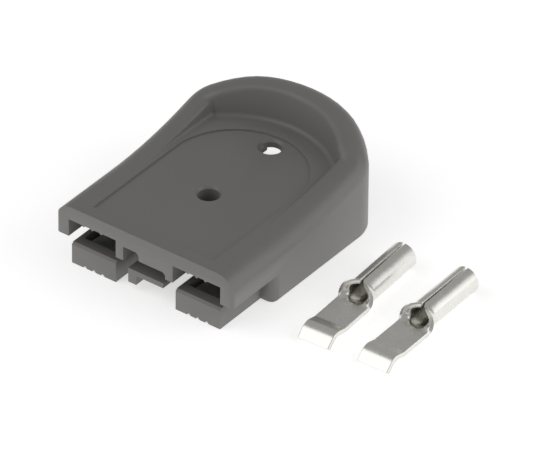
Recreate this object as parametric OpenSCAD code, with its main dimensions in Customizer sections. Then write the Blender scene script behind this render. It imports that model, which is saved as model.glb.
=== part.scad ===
// Genderless two-pole power connector of the one-hand kind: a moulded housing
// with a thumb scoop, the leaf springs inside it, and its two crimp contacts
// lying taken out beside it.
// X runs across the mating face, Y from the mating face to the back, Z up.
// The underside lies on Z = 0 and the origin is on it, midway between the screw holes.
// The modules measure Y from the mating face, and placed() moves each node to the origin.

/* [Housing] */
// Width over the side walls
body_w = 43.8; // [41:0.2:50]
// Length from the mating face to the back of the thumb rim
body_l = 56.2; // [53:0.1:62]
// Height of the flat top
top_z = 13.7; // [12.8:0.1:15]
// Height of the thumb rim at the back
rim_z = 20.9; // [18.5:0.1:22]
// Thickness of the side walls
wall_t = 3.1; // [2.4:0.1:3.6]
// Thickness of the cover over the mating mouths
cover_t = 3.1; // [2.4:0.1:3.6]
// Thickness of the top plate over the wire chamber
plate_t = 2.1; // [1.6:0.1:3]
// Radius of the rounded top edge
top_round = 3.8; // [2.8:0.1:4.2]
// Radius of the bottom edge
foot_round = 0.8; // [0.4:0.1:1.2]
// Radius of the large arc at the back
back_r = 26.4; // [25:0.1:30]
// Radius of the two back corners
corner_r = 7.8; // [7.4:0.1:9]
// Radius of the upright edges at the front corners
front_r = 0.9; // [0.4:0.1:1.5]

/* [Mating face] */
// Height of the plane on which two connectors slide together
mate_z = 5.2; // [5:0.05:5.3]
// How far one connector reaches into the other
mate_depth = 13.7; // [12:0.1:16]
// Width of each contact tongue
tongue_w = 11; // [10:0.1:12]
// Height of the tongues above the underside
tongue_h = 4.9; // [4.6:0.05:5]
// Setback of the tongues from the mating face
tongue_back = 0.5; // [0.2:0.1:1]
// Side clearance between a tongue and the mouth that takes it
tongue_gap = 0.37; // [0.2:0.01:0.6]
// Depth of the V grooves under the tongues
groove_d = 0.5; // [0.3:0.05:0.7]
// Distance between the V grooves
groove_pitch = 2.2; // [1.8:0.1:2.6]
// Thickness of the walls between the mouths and the middle slot
divider_t = 1.85; // [1.4:0.05:2.2]
// Gap between the front walls and the mating plane
skirt_gap = 1.35; // [1:0.05:1.8]
// Width of the key slot
key_w = 3.85; // [3.2:0.05:4.4]
// Height of the key slot's roof above the mating plane
key_h = 4.65; // [4:0.05:5]
// Height of the key block's underside above the mating plane
block_h = 2.8; // [2.4:0.05:3.4]
// Width of the middle tongue
middle_w = 8.7; // [7.6:0.1:9.4]
// Thickness of the middle tongue
middle_t = 1.2; // [0.9:0.1:1.6]
// Width of the key rib under the middle tongue
rib_w = 2; // [1.4:0.1:2.6]
// Height of the rib's lower edge above the underside
rib_z = 1.55; // [1.2:0.05:2]

/* [Inside] */
// Width of the contact channels
channel_w = 8.8; // [8.5:0.1:9.2]
// Thickness of the floor under the channels
floor_t = 2.2; // [1.6:0.1:2.6]
// Solid land at the front of a tongue, ahead of its channel
land_l = 2.7; // [2:0.1:4]
// Length of the contact block behind the mating depth
block_l = 20.3; // [16:0.1:24]
// Height of the wire openings at the back
exit_h = 9.6; // [8:0.1:10]
// Length of the partitions that reach into the wire chamber
partition_l = 13; // [6:0.5:15]

/* [Top] */
// Length of the front part of the top that stays level
level_l = 16; // [12:0.5:20]
// Half width of the scoop's floor
scoop_w = 16.2; // [15.5:0.1:17]
// Slope length of the scoop's back wall
scoop_run = 1.2; // [0.6:0.1:3]
// Thickness of the rim at the back, on top
rim_t = 6.3; // [5.2:0.1:6.8]
// Half width of the sunk panel
panel_w = 14.9; // [14:0.1:15.2]
// Setback of the sunk panel from the mating face
panel_front = 2.9; // [2:0.1:5]
// Length of the sunk panel
panel_l = 41.5; // [38:0.5:42.5]
// Depth of the sunk panel
panel_d = 0.4; // [0.2:0.05:0.6]
// Diameter of the two screw holes
hole_d = 4.5; // [3.5:0.1:5.5]
// Place of the front screw hole
hole_y = 20.9; // [18:0.1:22]
// Distance between the screw holes
hole_pitch = 20.3; // [17:0.1:21]

/* [Contacts] */
// Width of the contact blade
blade_w = 7.2; // [6.6:0.1:8.3]
// Thickness of the contact sheet
sheet_t = 1.15; // [0.8:0.05:1.3]
// Length of a contact
contact_l = 32.3; // [30:0.1:38]
// Outer diameter of the crimp barrel
barrel_d = 5.9; // [5:0.1:6.6]
// Length of the closed crimp barrel
barrel_l = 14.6; // [12:0.1:16]
// Width of the barrel's seam
seam_w = 0.35; // [0.2:0.05:0.8]
// Length of the cup between blade and barrel
cup_l = 4.2; // [3:0.1:5]
// Height of the blade's underside above the surface
blade_lift = 1.2; // [0.8:0.05:1.5]
// Height of the crest behind the contact's hooked nose
nose_h = 2.9; // [2.6:0.05:3.4]
// Clear distance between the housing and the first contact
contact_gap = 10.7; // [4:0.1:20]
// Distance between the two contacts
contact_pitch = 13.7; // [10:0.1:24]
// Setback of the first contact's nose from the mating face
contact_y = 7.1; // [0:0.1:14]

/* [Springs] */
// Width of a leaf spring
spring_w = 6.4; // [5:0.1:7.6]
// Thickness of a leaf spring
spring_t = 0.5; // [0.3:0.05:0.6]
// Rise of the bowed front of a spring
spring_rise = 1.5; // [0.8:0.1:1.8]

/* [Hidden] */
$fn = 64;
eps = 0.02;

half_w = body_w/2;
mouth_out = half_w - wall_t;                    // outer face of a mouth
mouth_w = tongue_w + 2*tongue_gap;
mouth_in = mouth_out - mouth_w;                 // inner face of a mouth
tongue_x = (mouth_out + mouth_in)/2;            // middle of each tongue, channel and mouth
middle_in = mouth_in - divider_t;               // half width of the middle slot
mouth_z = top_z - cover_t;                      // underside of the cover
skirt_z = mate_z + skirt_gap;                   // lower edge of the front walls
block_back = mate_depth + block_l;              // back of the contact block
chamber_z = top_z - plate_t;                    // roof of the wire chamber
origin_y = hole_y + hole_pitch/2;               // the origin's distance from the mating face
ridge_h = 0.8*groove_d;                         // height of the ridges that enter the grooves
rise_start = 0.8;                               // share of the rim's rise that curves up
rise_stop = 0.1;                                // share of the rim's rise that levels off
scoop_edge = 1.3;                               // rounding of the scoop's upper edge
scoop_foot = 1;                                 // rounding at the scoop's foot
side_run = 0.8;                                 // slope length of the scoop's side walls
spread = 0.02;                                  // keeps points apart where the top is level
block_r = 2;                                    // radius of the block's upright front edges
slot_round = 0.95;                              // rounding of the middle slot's roof corners
tunnel_drop = 0.4;                              // step from a mouth's roof to its tunnel's
exit_round = 2.5;                               // rounding of the wire openings
exit_step = 1.2;                                // wall left beside each wire opening
core_in = 1.9;                                  // wall left in front of the rim's core
core_wall = 2.4;                                // wall left round the rim's core
core_top = 2.6;                                 // wall left above the rim's core
core_a = 32;                                    // half angle of the rim's core
nose_c = 0.5;                                   // chamfer on the nose of each contact tongue
tab_back = 12;                                  // the springs' tabs, behind the mating depth
spring_seat = mate_depth + tab_back;            // where the springs' tabs drop into the floor
hole_edge = 0.45;                               // rounding of the screw holes' upper edges
over = 1;                                       // how far the cutting shapes run past a face
tab_h = 1.3;                                    // height of the springs' tabs
tab_gap = 0.1;                                  // clearance round the springs' tabs
contact_step = 0.9;                             // how much further back the second contact lies
contact_turn = [3, 1.35];                       // how far each contact lies turned

function lerp(a, b, t) = a + (b - a)*t;
function clamp(v, lo, hi) = min(max(v, lo), hi);
// 0 to 1 with a soft start over the share p of the way and a soft end over the share q
function ramp(t, p, q) =
    let (u = clamp(t, 0, 1), slope = 1/(1 - p/2 - q/2))
    u < p ? slope*u*u/(2*p) : u > 1 - q ? 1 - slope*(1 - u)*(1 - u)/(2*q) : slope*(u - p/2);

// ---------------------------------------------------------------- outline
// The plan outline runs from the front up the right side: a straight wall, a
// corner arc and half of the large back arc. Each station is [x, y, angle of
// the outward normal], and mirrored stations make the left side.
back_y = body_l - back_r;
corner_x = half_w - corner_r;
corner_y = back_y + sqrt(pow(back_r - corner_r, 2) - corner_x*corner_x);
corner_a = atan2(corner_y - back_y, corner_x);
side_steps = 8;
corner_steps = 9;
back_steps = 9;

side_stations = concat([[half_w, 0, 0]],
    [for (i = [0:side_steps]) [half_w, lerp(level_l, corner_y, i/side_steps), 0]]);
corner_stations = [for (i = [1:corner_steps])
    let (a = corner_a*i/corner_steps)
    [corner_x + corner_r*cos(a), corner_y + corner_r*sin(a), a]];
back_stations = [for (i = [1:back_steps])
    let (a = lerp(corner_a, 90, i/back_steps))
    [back_r*cos(a), back_y + back_r*sin(a), a]];
right_stations = concat(side_stations, corner_stations, back_stations);
left_stations = [for (i = [len(right_stations) - 2:-1:0])
    let (s = right_stations[i]) [-s[0], s[1], 180 - s[2]]];
stations = concat(right_stations, left_stations);

// The outline as a closed shape, moved inwards by d and cut off at y0
module outline(d, y0) {
    intersection() {
        polygon([for (s = stations) [s[0] - d*cos(s[2]), s[1] - d*sin(s[2])]]);
        translate([-body_w, y0]) square([2*body_w, 2*body_l]);
    }
}

// ---------------------------------------------------------------- upper form
// Height of the rim over the side walls: level in front, then a curved rise to the back
function rim_height(y) =
    lerp(top_z, rim_z, ramp((y - level_l)/(body_l - level_l), rise_start, rise_stop));
// How much of the back a station belongs to: 0 on the sides, 1 at the middle of the back
function backness(a) = pow(sin(a), 2);

// Section of the rim at one station, from the underside to the scoop's floor,
// as [distance inwards from the outline, height]
foot_n = 2;
edge_n = 6;
lip_n = 3;
sole_n = 4;
function section(s) =
    let (z = rim_height(s[1]),
         deep = z - top_z,
         k = backness(s[2]),
         lip = min(scoop_edge, 0.4*deep),
         sole = min(scoop_foot, 0.45*deep),
         inner = lerp(half_w - scoop_w, rim_t, k),
         run = lerp(side_run, scoop_run, k),
         foot = inner + spread*(lip_n + 2) + run*deep/(rim_z - top_z),
         slant = atan2(rim_z - top_z, run))
    concat(
        [for (i = [0:foot_n]) let (a = 90*i/foot_n)
            [foot_round*(1 - sin(a)), foot_round*(1 - cos(a))]],
        [for (i = [0:edge_n]) let (a = 90*i/edge_n)
            [top_round*(1 - cos(a)), z - top_round*(1 - sin(a))]],
        [for (i = [0:lip_n]) let (a = slant*i/lip_n)
            [inner - lip*tan(slant/2) + lip*sin(a) + spread*i, z - lip*(1 - cos(a))]],
        [for (i = [0:sole_n]) let (a = slant*(1 - i/sole_n))
            [foot + sole*tan(slant/2) - sole*sin(a) + spread*i, top_z + sole*(1 - cos(a))]]);

module shell_form() {
    rows = [for (s = stations) [for (p = section(s))
        [s[0] - p[0]*cos(s[2]), s[1] - p[0]*sin(s[2]), p[1]]]];
    n = len(rows);
    m = len(rows[0]);
    points = [for (r = rows) for (p = r) p];
    skin = [for (i = [0:n - 2]) for (j = [0:m - 2])
        let (a = i*m + j, b = a + m)
        each [[a, a + 1, b + 1], [a, b + 1, b]]];
    front = concat([0], [for (j = [0:m - 1]) (n - 1)*m + j], [for (j = [m - 1:-1:1]) j]);
    // strips from side to side close the underside
    under = [for (i = [0:(n - 3)/2])
        let (a = i*m, b = a + m, c = (n - 1 - i)*m, d = c - m)
        each concat([[a, b, c]], b == d ? [] : [[b, d, c]])];
    // the scoop's floor has strips between the straight sides, and a fan from its back
    top = m - 1;
    apex = (n - 1)/2*m + top;
    straight = len(side_stations) - 1;
    floor_strips = [for (i = [0:straight - 1])
        let (a = i*m + top, b = a + m, c = (n - 1 - i)*m + top, d = c - m)
        each [[b, a, c], [b, c, d]]];
    floor_fan = concat([[apex, straight*m + top, (n - 1 - straight)*m + top]],
        [for (i = [straight:(n - 1)/2 - 2])
            let (a = i*m + top, b = a + m, c = (n - 1 - i)*m + top, d = c - m)
            each [[apex, b, a], [apex, c, d]]]);
    polyhedron(points, concat(skin, [front], under, floor_strips, floor_fan), convexity = 8);
}

// ---------------------------------------------------------------- housing cuts
// Everything in front of the contact block and below the front walls
module front_clearance() {
    back = mate_depth + block_r;
    translate([0, 0, -over]) linear_extrude(skirt_z + over) difference() {
        translate([-body_w, -over]) square([2*body_w, back + over]);
        translate([-half_w + block_r, mate_depth]) square([body_w - 2*block_r, 2*block_r]);
        for (side = [-1, 1]) translate([side*(half_w - block_r), back]) circle(block_r);
    }
}

// The upright edges of the front corners
module front_corners() {
    for (side = [0, 1]) mirror([side, 0, 0]) translate([half_w - front_r, front_r, -over])
        linear_extrude(rim_z + 2*over) difference() {
            translate([0, -2*front_r]) square(2*front_r);
            circle(front_r);
        }
}

// One mating mouth with the ridges that enter the grooves of the mate's tongue
module mouth(side) {
    difference() {
        translate([side*tongue_x - mouth_w/2, -over, skirt_z - over])
            cube([mouth_w, mate_depth + over, mouth_z - skirt_z + over]);
        for (k = [-1:1]) translate([side*tongue_x + k*groove_pitch, -2*over, mouth_z])
            rotate([-90, 0, 0]) linear_extrude(mate_depth + 3*over)
                polygon([[-groove_d, -eps], [0, ridge_h], [groove_d, -eps]]);
    }
}

// The middle slot: a key slot on the left and the gap under the key block
module middle_slot() {
    key_z = mate_z + key_h;
    block_z = mate_z + block_h;
    translate([0, -over, 0]) rotate([90, 0, 0]) mirror([0, 0, 1])
        linear_extrude(mate_depth + over) {
            translate([-middle_in, skirt_z - over])
                square([key_w, key_z - slot_round - skirt_z + over]);
            translate([-middle_in, key_z - slot_round - eps])
                square([key_w - slot_round, slot_round + eps]);
            translate([-middle_in + key_w - slot_round, key_z - slot_round]) circle(slot_round);
            translate([-middle_in, skirt_z - over])
                square([2*middle_in, block_z - slot_round - skirt_z + over]);
            translate([-middle_in, skirt_z])
                square([2*middle_in - slot_round, block_z - skirt_z]);
            translate([middle_in - slot_round, block_z - slot_round]) circle(slot_round);
        }
}

// One contact channel: a trough in the tongue that goes on as a tunnel
module channel(side) {
    front = tongue_back + land_l;
    translate([side*tongue_x - channel_w/2, front, floor_t])
        cube([channel_w, mate_depth - front + eps, mate_z]);
    translate([side*tongue_x - channel_w/2, mate_depth, floor_t])
        cube([channel_w, block_l + eps, mouth_z - tunnel_drop - floor_t]);
    translate([side*tongue_x - spring_w/2 - tab_gap, spring_seat, floor_t - tab_h - tab_gap])
        cube([spring_w + 2*tab_gap, spring_t + tab_gap, tab_h + 2*tab_gap]);
}

// The wire chamber behind the block, with its two openings through the back
module wire_chamber() {
    difference() {
        translate([0, 0, -over]) linear_extrude(chamber_z + over) outline(wall_t, block_back);
        for (side = [-1, 1])
            translate([side > 0 ? middle_in : -mouth_in, block_back - over, -2*over])
                cube([divider_t, partition_l + over, rim_z]);
    }
    exit_w = mouth_out - exit_step - middle_in;
    for (side = [-1, 1])
        translate([side > 0 ? middle_in : -middle_in - exit_w, corner_y, 0])
            rotate([90, 0, 0]) mirror([0, 0, 1]) linear_extrude(body_l) {
                translate([0, -over]) square([exit_w, exit_h - exit_round + over]);
                translate([exit_round, 0]) square([exit_w - 2*exit_round, exit_h]);
                for (x = [exit_round, exit_w - exit_round])
                    translate([x, exit_h - exit_round]) circle(exit_round);
            }
}

// The core pocket that keeps the thumb rim an even wall, open to the chamber
module rim_core() {
    depth = rim_z - chamber_z - core_top;
    translate([0, back_y, chamber_z - eps]) rotate([0, 0, 90 - core_a])
        rotate_extrude(angle = 2*core_a, $fn = 96)
            translate([back_r - rim_t + core_in, 0])
                square([rim_t - core_in - core_wall, depth]);
}

module sunk_panel() {
    translate([0, 0, top_z - panel_d]) linear_extrude(panel_d + over) {
        translate([-panel_w, panel_front]) square([2*panel_w, panel_l - panel_w]);
        intersection() {
            translate([0, panel_front + panel_l - panel_w]) circle(panel_w, $fn = 96);
            translate([-panel_w, panel_front]) square([2*panel_w, panel_l]);
        }
    }
}

module screw_holes() {
    for (y = [hole_y, hole_y + hole_pitch]) translate([0, y, 0]) {
        translate([0, 0, -over]) cylinder(d = hole_d, h = rim_z + 2*over);
        translate([0, 0, top_z - panel_d - hole_edge])
            cylinder(d1 = hole_d, d2 = hole_d + 2*hole_edge + 2*over, h = hole_edge + over);
    }
}

// ---------------------------------------------------------------- tongues
module contact_tongue(side) {
    end = mate_depth + over;
    difference() {
        translate([side*tongue_x - tongue_w/2, end, 0]) rotate([90, 0, -90]) mirror([0, 0, 1])
            linear_extrude(tongue_w) polygon([
                [0, 0], [end - tongue_back, 0], [end - tongue_back, tongue_h - nose_c],
                [end - tongue_back - nose_c, tongue_h], [0, tongue_h]]);
        for (k = [-1:1]) translate([side*tongue_x + k*groove_pitch, -over, 0])
            rotate([-90, 0, 0]) linear_extrude(end + 2*over)
                polygon([[-groove_d, eps], [0, -groove_d], [groove_d, eps]]);
    }
}

module middle_tongue() {
    depth = mate_depth + over - tongue_back;
    translate([-middle_w/2, tongue_back, tongue_h - middle_t]) cube([middle_w, depth, middle_t]);
    translate([-middle_w/2, tongue_back, rib_z]) cube([rib_w, depth, tongue_h - rib_z]);
}

// Moves a node from the mating face's Y to the origin's
module placed() {
    translate([0, -origin_y, 0]) children();
}

module housing() {
    color([0.50, 0.49, 0.475]) placed() difference() {
        union() {
            difference() {
                shell_form();
                front_clearance();
                for (side = [-1, 1]) mouth(side);
                middle_slot();
            }
            for (side = [-1, 1]) contact_tongue(side);
            middle_tongue();
        }
        for (side = [-1, 1]) channel(side);
        wire_chamber();
        rim_core();
        sunk_panel();
        screw_holes();
        front_corners();
    }
}

// ---------------------------------------------------------------- contacts
// Side profile of the blade: the sheet's middle line from the nose to the cup.
// The nose climbs at up_a over a crest and comes down at down_a to the flat.
up_a = 42;
down_a = 14;
crest_r = 2.6;
bend_r = 2.2;
blade_end = contact_l - barrel_l - cup_l;
flat_z = blade_lift + sheet_t/2;
nose_start = [sheet_t/2*sin(up_a), sheet_t/2*cos(up_a)];
climb_l = (nose_h - sheet_t/2 - nose_start[1] - crest_r*(1 - cos(up_a)))/sin(up_a);
crest_start = nose_start + climb_l*[cos(up_a), sin(up_a)];
function crest_point(a) = crest_start + crest_r*[sin(up_a) - sin(a), cos(a) - cos(up_a)];
crest_end = crest_point(-down_a);
bend_drop = bend_r*(1 - cos(down_a));
down_l = (crest_end[1] - flat_z - bend_drop)/sin(down_a);
bend_start = crest_end + down_l*[cos(down_a), -sin(down_a)];
function bend_point(a) = bend_start + bend_r*[sin(down_a) - sin(a), cos(down_a) - cos(a)];
arc_n = 10;
blade_line = concat(
    [concat(nose_start, up_a)],
    [for (i = [0:arc_n]) let (a = lerp(up_a, -down_a, i/arc_n)) concat(crest_point(a), a)],
    [for (i = [0:arc_n/2]) let (a = lerp(down_a, 0, 2*i/arc_n)) concat(bend_point(a), -a)],
    [[blade_end, flat_z, 0]]);
function beside(p, d) = [p[0] - d*sin(p[2]), p[1] + d*cos(p[2])];

module blade() {
    n = len(blade_line);
    translate([-blade_w/2, 0, 0]) rotate([90, 0, 90]) linear_extrude(blade_w)
        polygon(concat([for (i = [0:n - 1]) beside(blade_line[i], sheet_t/2)],
                       [for (i = [n - 1:-1:0]) beside(blade_line[i], -sheet_t/2)]));
}

// The cup: the flat sheet widens and curls up until its edges meet over the barrel, and
// steps down to the barrel's underside. At each station the sheet is an arc whose length
// and bend grow with the way. It is thinner by a hair than the blade and the barrel, and
// its ends lie inside them.
cup_lap = 0.1;
cup_growth = 1.5;
hair = 0.02;
mid_r = (barrel_d - sheet_t)/2;
barrel_a = 360 - 2*asin((seam_w/2 + 2*hair)/mid_r);
function cup_section(t) =
    let (u = ramp(t, 0.45, 0.45),
         width = lerp(blade_w - 2*hair, barrel_a*PI/180*mid_r, pow(u, cup_growth)),
         angle = max(barrel_a*u, 0.2),
         base = lerp(flat_z, sheet_t/2, u),
         r = width/(angle*PI/180),
         half_t = sheet_t/2 - hair,
         n = 20)
    concat(
        [for (i = [0:n]) let (a = angle*(i/n - 0.5))
            [(r + half_t)*sin(a), base + r - (r + half_t)*cos(a)]],
        [for (i = [n:-1:0]) let (a = angle*(i/n - 0.5))
            [(r - half_t)*sin(a), base + r - (r - half_t)*cos(a)]]);

module cup() {
    steps = 9;
    ways = concat([[0, -cup_lap]], [for (i = [0:steps]) [i/steps, cup_l*i/steps]],
        [[1, cup_l + cup_lap]]);
    rows = [for (w = ways) [for (p = cup_section(w[0])) [p[0], blade_end + w[1], p[1]]]];
    n = len(rows);
    m = len(rows[0]);
    points = [for (r = rows) for (p = r) p];
    skin = [for (i = [0:n - 2]) for (j = [0:m - 1])
        let (a = i*m + j, b = i*m + (j + 1)%m)
        each [[a, b, b + m], [a, b + m, a + m]]];
    // each end is a row of quads between the outer and the inner arc
    ends = [for (j = [0:m/2 - 2]) let (k = m - 1 - j, e = (n - 1)*m)
        each [[j, k, k - 1], [j, k - 1, j + 1],
              [e + j, e + k - 1, e + k], [e + j, e + j + 1, e + k - 1]]];
    polyhedron(points, concat(skin, ends), convexity = 6);
}

module barrel() {
    translate([0, contact_l - barrel_l, barrel_d/2]) difference() {
        rotate([-90, 0, 0]) cylinder(d = barrel_d, h = barrel_l);
        translate([0, -over, 0]) rotate([-90, 0, 0])
            cylinder(r = mid_r - sheet_t/2, h = barrel_l + 2*over);
        translate([-seam_w/2, -over, 0]) cube([seam_w, barrel_l + 2*over, barrel_d]);
    }
}

module contact(x, y, turn) {
    color([0.80, 0.79, 0.76]) placed() translate([x, y, 0]) rotate([0, 0, turn]) {
        blade();
        cup();
        barrel();
    }
}

contact_x = half_w + contact_gap + blade_w/2;
module contact_left() { contact(contact_x, contact_y, contact_turn[0]); }
module contact_right() {
    contact(contact_x + contact_pitch, contact_y + contact_step, contact_turn[1]);
}

// ---------------------------------------------------------------- springs
// A leaf spring: flat on the channel floor, bowed up under the blade, with a
// tab at the back that drops into a slot of the floor
spring_front = tongue_back + land_l + 0.6;
spring_flat = mate_depth + 1;
module leaf_spring(side) {
    n = 16;
    bow = [for (i = [0:n]) let (t = i/n)
        [lerp(spring_front, spring_flat, t), spring_rise*(1 - ramp(t, 0.45, 0.45))]];
    tip = [spring_front - 0.2, spring_rise - 0.45];
    line = concat([tip], bow, [[spring_seat + spring_t, 0]]);
    lower = [for (p = line) [p[0], floor_t + p[1]]];
    upper = [for (i = [len(line) - 1:-1:0]) [line[i][0], floor_t + line[i][1] + spring_t]];
    tab = [[spring_seat + spring_t, floor_t - tab_h], [spring_seat, floor_t - tab_h],
           [spring_seat, floor_t]];
    color([0.72, 0.73, 0.74]) placed() translate([side*tongue_x - spring_w/2, 0, 0])
        rotate([90, 0, 90]) linear_extrude(spring_w)
            polygon(concat([for (i = [0:len(lower) - 2]) lower[i]],
                [tab[2], tab[1], tab[0]], upper));
}
module spring_left() { leaf_spring(-1); }
module spring_right() { leaf_spring(1); }

housing();
contact_left();
contact_right();
spring_left();
spring_right();
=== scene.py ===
# A genderless two-pole power connector with its two crimp contacts lying beside it.
# Metres; X runs across the mating face, Y from that face to the thumb rim, Z up.
from math import asin, cos, degrees, pi, radians, sin

import bmesh
import bpy
import numpy as np
from mathutils import Euler, Matrix, Vector


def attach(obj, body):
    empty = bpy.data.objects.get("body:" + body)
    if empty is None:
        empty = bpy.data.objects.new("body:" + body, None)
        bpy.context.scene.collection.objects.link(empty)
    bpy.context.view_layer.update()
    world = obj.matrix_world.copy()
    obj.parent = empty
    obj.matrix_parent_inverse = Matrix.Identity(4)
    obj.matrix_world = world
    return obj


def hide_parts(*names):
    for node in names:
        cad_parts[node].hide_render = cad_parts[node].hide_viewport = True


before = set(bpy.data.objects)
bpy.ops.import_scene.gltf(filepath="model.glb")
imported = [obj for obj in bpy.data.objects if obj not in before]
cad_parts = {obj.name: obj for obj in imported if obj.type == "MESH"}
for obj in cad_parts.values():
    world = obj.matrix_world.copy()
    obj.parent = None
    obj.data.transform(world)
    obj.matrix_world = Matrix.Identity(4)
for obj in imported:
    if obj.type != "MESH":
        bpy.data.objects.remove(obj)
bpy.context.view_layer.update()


# ---------------------------------------------------------------- housing
# One injection moulding in satin grey polycarbonate. Every edge of the mould leaves a
# small radius, so the CAD solid is copied, its flat faces are joined, and its sharp
# edges are rounded.
def satin_plastic():
    """Grey plastic with a fine spark-eroded grain in the bump. A broad noise n, 0 to 1, sets
    the tint between A and B and the roughness = 0.36 + 0.14 n."""
    material = bpy.data.materials.new("housing_plastic")
    material.use_nodes = True
    nodes, links = material.node_tree.nodes, material.node_tree.links
    shader = nodes["Principled BSDF"]
    shader.inputs["IOR"].default_value = 1.5
    where = nodes.new("ShaderNodeTexCoord")
    grain = nodes.new("ShaderNodeTexNoise")
    grain.inputs["Scale"].default_value = 5200
    grain.inputs["Detail"].default_value = 3
    links.new(where.outputs["Object"], grain.inputs["Vector"])
    flow = nodes.new("ShaderNodeTexNoise")
    flow.inputs["Scale"].default_value = 60
    flow.inputs["Detail"].default_value = 4
    links.new(where.outputs["Object"], flow.inputs["Vector"])
    tint = nodes.new("ShaderNodeMix")
    tint.data_type = "RGBA"
    tint.inputs["A"].default_value = (0.178, 0.174, 0.168, 1)
    tint.inputs["B"].default_value = (0.196, 0.192, 0.185, 1)
    links.new(flow.outputs["Fac"], tint.inputs["Factor"])
    links.new(tint.outputs["Result"], shader.inputs["Base Color"])
    rough = nodes.new("ShaderNodeMapRange")
    rough.inputs["To Min"].default_value = 0.36
    rough.inputs["To Max"].default_value = 0.50
    links.new(flow.outputs["Fac"], rough.inputs["Value"])
    links.new(rough.outputs["Result"], shader.inputs["Roughness"])
    bump = nodes.new("ShaderNodeBump")
    bump.inputs["Strength"].default_value = 0.12
    bump.inputs["Distance"].default_value = 0.00005
    links.new(grain.outputs["Fac"], bump.inputs["Height"])
    links.new(bump.outputs["Normal"], shader.inputs["Normal"])
    return material


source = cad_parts["housing"]
mesh = source.data.copy()
mesh.materials.clear()
bm = bmesh.new()
bm.from_mesh(mesh)
bmesh.ops.remove_doubles(bm, verts=bm.verts, dist=3e-6)
bmesh.ops.dissolve_limit(bm, angle_limit=radians(0.6), use_dissolve_boundaries=False,
                         verts=bm.verts, edges=bm.edges, delimit=set())
sharp = [e for e in bm.edges if len(e.link_faces) == 2 and e.calc_face_angle(0) > radians(32)]
bmesh.ops.bevel(bm, geom=sharp, offset=0.00022, offset_type="OFFSET", segments=3,
                profile=0.5, affect="EDGES", clamp_overlap=True, miter_outer="SHARP")
for face in bm.faces:
    face.smooth = True
bm.to_mesh(mesh)
bm.free()
mesh.set_sharp_from_angle(angle=radians(35))
housing = bpy.data.objects.new("housing_moulding", mesh)
bpy.context.scene.collection.objects.link(housing)
mesh.materials.append(satin_plastic())
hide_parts("housing")
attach(housing, "root")


# ---------------------------------------------------------------- contacts
# Each contact is stamped from copper sheet, tin plated, bent at the nose and rolled into
# a crimp barrel with an open seam. One section of the sheet is swept along its length.
def bright_tin():
    """Tin plate with fine rolling lines along the sheet in the bump. A blotchy noise n, 0 to
    1, sets the tint between A and B and the roughness = 0.20 + 0.14 n."""
    material = bpy.data.materials.new("tinned_contact")
    material.use_nodes = True
    nodes, links = material.node_tree.nodes, material.node_tree.links
    shader = nodes["Principled BSDF"]
    shader.inputs["Metallic"].default_value = 1.0
    where = nodes.new("ShaderNodeTexCoord")
    blotch = nodes.new("ShaderNodeTexNoise")
    blotch.inputs["Scale"].default_value = 420
    blotch.inputs["Detail"].default_value = 4
    links.new(where.outputs["Object"], blotch.inputs["Vector"])
    tint = nodes.new("ShaderNodeMix")
    tint.data_type = "RGBA"
    tint.inputs["A"].default_value = (0.74, 0.725, 0.68, 1)
    tint.inputs["B"].default_value = (0.86, 0.85, 0.81, 1)
    links.new(blotch.outputs["Fac"], tint.inputs["Factor"])
    links.new(tint.outputs["Result"], shader.inputs["Base Color"])
    rough = nodes.new("ShaderNodeMapRange")
    rough.inputs["To Min"].default_value = 0.20
    rough.inputs["To Max"].default_value = 0.34
    links.new(blotch.outputs["Fac"], rough.inputs["Value"])
    links.new(rough.outputs["Result"], shader.inputs["Roughness"])
    lines = nodes.new("ShaderNodeMapping")
    lines.inputs["Scale"].default_value = (9000, 260, 3000)
    links.new(where.outputs["Object"], lines.inputs["Vector"])
    streak = nodes.new("ShaderNodeTexNoise")
    streak.inputs["Scale"].default_value = 1.0
    links.new(lines.outputs["Vector"], streak.inputs["Vector"])
    bump = nodes.new("ShaderNodeBump")
    bump.inputs["Strength"].default_value = 0.10
    bump.inputs["Distance"].default_value = 0.00004
    links.new(streak.outputs["Fac"], bump.inputs["Height"])
    links.new(bump.outputs["Normal"], shader.inputs["Normal"])
    return material


def smooth_ramp(t, share):
    """0 to 1 with parabolic ends that each take share of the way, straight between."""
    t = min(max(t, 0.0), 1.0)
    k = 2*share*(1 - share)
    if t < share:
        return t*t/k
    if t > 1 - share:
        return 1 - (1 - t)**2/k
    return (t - share/2)/(1 - share)


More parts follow.
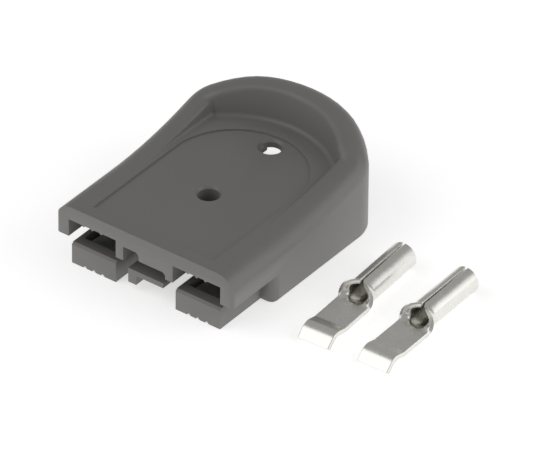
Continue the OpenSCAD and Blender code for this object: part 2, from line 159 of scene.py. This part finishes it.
def contact_mesh(name):
    """The sheet's middle line is (y, z, slope, bend, arc length); bend is the section's total
    turn in degrees, 0 on the blade and nearly 360 on the barrel. A section point at the
    share q of the arc lies at x = (r + d) sin a, z = z0 + r - (r + d) cos a, a = bend (q - 1/2),
    with r = arc length / bend and d its distance outwards from the middle line."""
    blade_w, sheet, length = 7.2, 1.15, 32.3
    barrel_d, barrel_l, cup_l, seam = 5.9, 14.6, 4.2, 0.35
    nose_h, blade_lift = 2.9, 1.2
    up, down, crest_r, bend_r = radians(42), radians(14), 2.6, 2.2
    cup_ease, cup_growth, least_bend = 0.45, 1.5, 0.05
    crest_n, bend_n, flat_n, cup_n, barrel_n = 24, 12, 5, 28, 8
    flat = blade_lift + sheet/2
    mid_r = (barrel_d - sheet)/2
    full = 360 - 2*degrees(asin(seam/2/mid_r))
    full_w = full*pi/180*mid_r
    start = np.array([sheet/2*sin(up), sheet/2*cos(up)])
    rows = [(*start, up, 0.0, blade_w)]
    climb = (nose_h - sheet/2 - start[1] - crest_r*(1 - cos(up)))/sin(up)
    crest = start + climb*np.array([cos(up), sin(up)])
    for i in range(crest_n + 1):
        a = up + (-down - up)*i/crest_n
        p = crest + crest_r*np.array([sin(up) - sin(a), cos(a) - cos(up)])
        rows.append((*p, a, 0.0, blade_w))
    drop = bend_r*(1 - cos(down))
    run = (rows[-1][1] - flat - drop)/sin(down)
    foot = np.array(rows[-1][:2]) + run*np.array([cos(down), -sin(down)])
    for i in range(bend_n + 1):
        a = down*(1 - i/bend_n)
        p = foot + bend_r*np.array([sin(down) - sin(a), cos(down) - cos(a)])
        rows.append((*p, -a, 0.0, blade_w))
    cup = length - barrel_l - cup_l
    for i in range(flat_n):
        rows.append((rows[-1][0] + (cup - rows[-1][0])*0.35, flat, 0.0, 0.0, blade_w))
    for i in range(cup_n + 1):
        t = i/cup_n
        u = smooth_ramp(t, cup_ease)
        rows.append((cup + cup_l*t, flat + (sheet/2 - flat)*u, 0.0, max(full*u, least_bend),
                     blade_w + (full_w - blade_w)*u**cup_growth))
    for i in range(1, barrel_n + 1):
        rows.append((cup + cup_l + barrel_l*i/barrel_n, sheet/2, 0.0, full, full_w))

    # the sheet's section as (share of the width, distance from the middle), edges rounded
    edge, half, across, turn_n = 0.14, sheet/2, 44, 6

    def section(width):
        pts = []
        for side in (1, -1):
            for i in range(across + 1):
                pts.append((side*(i/across*2 - 1)*(width/2 - edge), side*half))
            for k in range(1, turn_n):
                a = pi/2 - pi*k/turn_n
                away = (half - edge)*float(np.sign(turn_n - 2*k))
                pts.append((side*(width/2 - edge + edge*cos(a)), side*(edge*sin(a) + away)))
        return pts

    loops = []
    for y, z, slope, bend, width in rows:
        loop = []
        for s, d in section(width):
            if bend <= least_bend:
                loop.append((s, y - d*sin(slope), z + d*cos(slope)))
            else:
                r = width/radians(bend)
                a = s/r
                loop.append(((r - d)*sin(a), y, z + r - (r - d)*cos(a)))
        loops.append(loop)
    n = len(loops[0])
    verts = [p for loop in loops for p in loop]
    faces = [(i*n + j, i*n + (j + 1) % n, (i + 1)*n + (j + 1) % n, (i + 1)*n + j)
             for i in range(len(loops) - 1) for j in range(n)]
    # the two cut ends are strips between the upper and the lower run of points
    run_n = n//2
    for base, turn in ((0, 1), ((len(loops) - 1)*n, -1)):
        upper = [base + k for k in range(across + 1)]
        lower = [base + run_n + across - k for k in range(across + 1)]
        for k in range(across):
            quad = (upper[k], lower[k], lower[k + 1], upper[k + 1])
            faces.append(quad if turn > 0 else quad[::-1])
        right = [base + across + k for k in range(0, run_n - across + 1)]
        left = [base + run_n + across + k for k in range(0, run_n - across)] + [base]
        faces.append(tuple(right) if turn > 0 else tuple(right[::-1]))
        faces.append(tuple(left) if turn > 0 else tuple(left[::-1]))
    mesh = bpy.data.meshes.new(name)
    mesh.from_pydata([(x/1000, y/1000, z/1000) for x, y, z in verts], [], faces)
    for polygon in mesh.polygons:
        polygon.use_smooth = True
    mesh.validate()
    return mesh


tin = bright_tin()
# each nose's place (x, y from the mating face, in mm) and turn in degrees, and how far the
# mating face lies in front of the origin
placing = {"contact_left": (36.2, 7.1, 3.0), "contact_right": (49.9, 8.0, 1.35)}
face_y = 31.05
for name, (x, y, turn) in placing.items():
    mesh = contact_mesh(name + "_sheet")
    place = Matrix.Translation((x/1000, (y - face_y)/1000, 0))
    mesh.transform(place @ Matrix.Rotation(radians(turn), 4, "Z"))
    bm = bmesh.new()
    bm.from_mesh(mesh)
    bmesh.ops.recalc_face_normals(bm, faces=bm.faces)
    bm.to_mesh(mesh)
    bm.free()
    mesh.set_sharp_from_angle(angle=radians(50))
    piece = bpy.data.objects.new(name + "_sheet", mesh)
    bpy.context.scene.collection.objects.link(piece)
    mesh.materials.append(tin)
    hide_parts(name)
    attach(piece, "root")


# ---------------------------------------------------------------- springs
# Two leaf springs of stainless strip lie on the channel floors inside the housing. Their
# solids carry the finish.
def spring_steel():
    """Rolled strip with fine lines along Y in the bump, roughness = 0.3."""
    material = bpy.data.materials.new("spring_steel")
    material.use_nodes = True
    nodes, links = material.node_tree.nodes, material.node_tree.links
    shader = nodes["Principled BSDF"]
    shader.inputs["Metallic"].default_value = 1.0
    shader.inputs["Base Color"].default_value = (0.56, 0.57, 0.58, 1)
    shader.inputs["Roughness"].default_value = 0.3
    where = nodes.new("ShaderNodeTexCoord")
    lines = nodes.new("ShaderNodeMapping")
    lines.inputs["Scale"].default_value = (8000, 300, 2000)
    links.new(where.outputs["Object"], lines.inputs["Vector"])
    streak = nodes.new("ShaderNodeTexNoise")
    streak.inputs["Scale"].default_value = 1.0
    links.new(lines.outputs["Vector"], streak.inputs["Vector"])
    bump = nodes.new("ShaderNodeBump")
    bump.inputs["Strength"].default_value = 0.15
    bump.inputs["Distance"].default_value = 0.00003
    links.new(streak.outputs["Fac"], bump.inputs["Height"])
    links.new(bump.outputs["Normal"], shader.inputs["Normal"])
    return material


steel = spring_steel()
for name in ("spring_left", "spring_right"):
    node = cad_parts[name]
    for slot in node.material_slots:
        slot.material = steel


# ---------------------------------------------------------------- stage, light and camera
# A pale floor that glows a little, like a light table, a dim even surround, and two large
# soft boxes: one to the left in front and one to the right at the back.
floor_mesh = bpy.data.meshes.new("floor")
floor_mesh.from_pydata([(-3, -3, 0), (3, -3, 0), (3, 3, 0), (-3, 3, 0)], [], [(0, 1, 2, 3)])
floor = bpy.data.objects.new("floor", floor_mesh)
bpy.context.scene.collection.objects.link(floor)
pale = bpy.data.materials.new("pale_floor")
pale.use_nodes = True
surface = pale.node_tree.nodes["Principled BSDF"]
surface.inputs["Base Color"].default_value = (0.85, 0.85, 0.85, 1)
surface.inputs["Roughness"].default_value = 0.8
surface.inputs["Emission Color"].default_value = (1, 1, 1, 1)
surface.inputs["Emission Strength"].default_value = 0.55
floor_mesh.materials.append(pale)

world = bpy.data.worlds.new("studio")
world.use_nodes = True
world.node_tree.nodes["Background"].inputs["Color"].default_value = (1, 1, 1, 1)
world.node_tree.nodes["Background"].inputs["Strength"].default_value = 0.36
bpy.context.scene.world = world

for name, place, size, power in (
        ("left_box", (-0.45, -0.50, 0.62), 0.75, 1.9),
        ("right_box", (0.70, 0.30, 0.36), 0.70, 1.9)):
    light = bpy.data.lights.new(name, "AREA")
    light.size = size
    light.energy = power
    lamp = bpy.data.objects.new(name, light)
    lamp.location = place
    lamp.rotation_euler = (-Vector(place)).to_track_quat("-Z", "Y").to_euler()
    bpy.context.scene.collection.objects.link(lamp)

camera = bpy.data.objects.new("camera", bpy.data.cameras.new("camera"))
camera.data.sensor_width = 36
camera.data.lens = 607.2
azimuth, elevation, distance, roll = radians(36.757), radians(35.462), 1.8143, radians(0.565)
aim = Vector((0.004908, 0.003601, 0))
back = Vector((sin(azimuth)*cos(elevation), -cos(azimuth)*cos(elevation), sin(elevation)))
camera.location = aim + back*distance
level = (-back).to_track_quat("-Z", "Y")
camera.rotation_euler = (level @ Euler((0, 0, roll)).to_quaternion()).to_euler()
camera.data.clip_start, camera.data.clip_end = 0.1, 20
bpy.context.scene.collection.objects.link(camera)
bpy.context.scene.camera = camera
bpy.context.scene.view_settings.view_transform = "Standard"
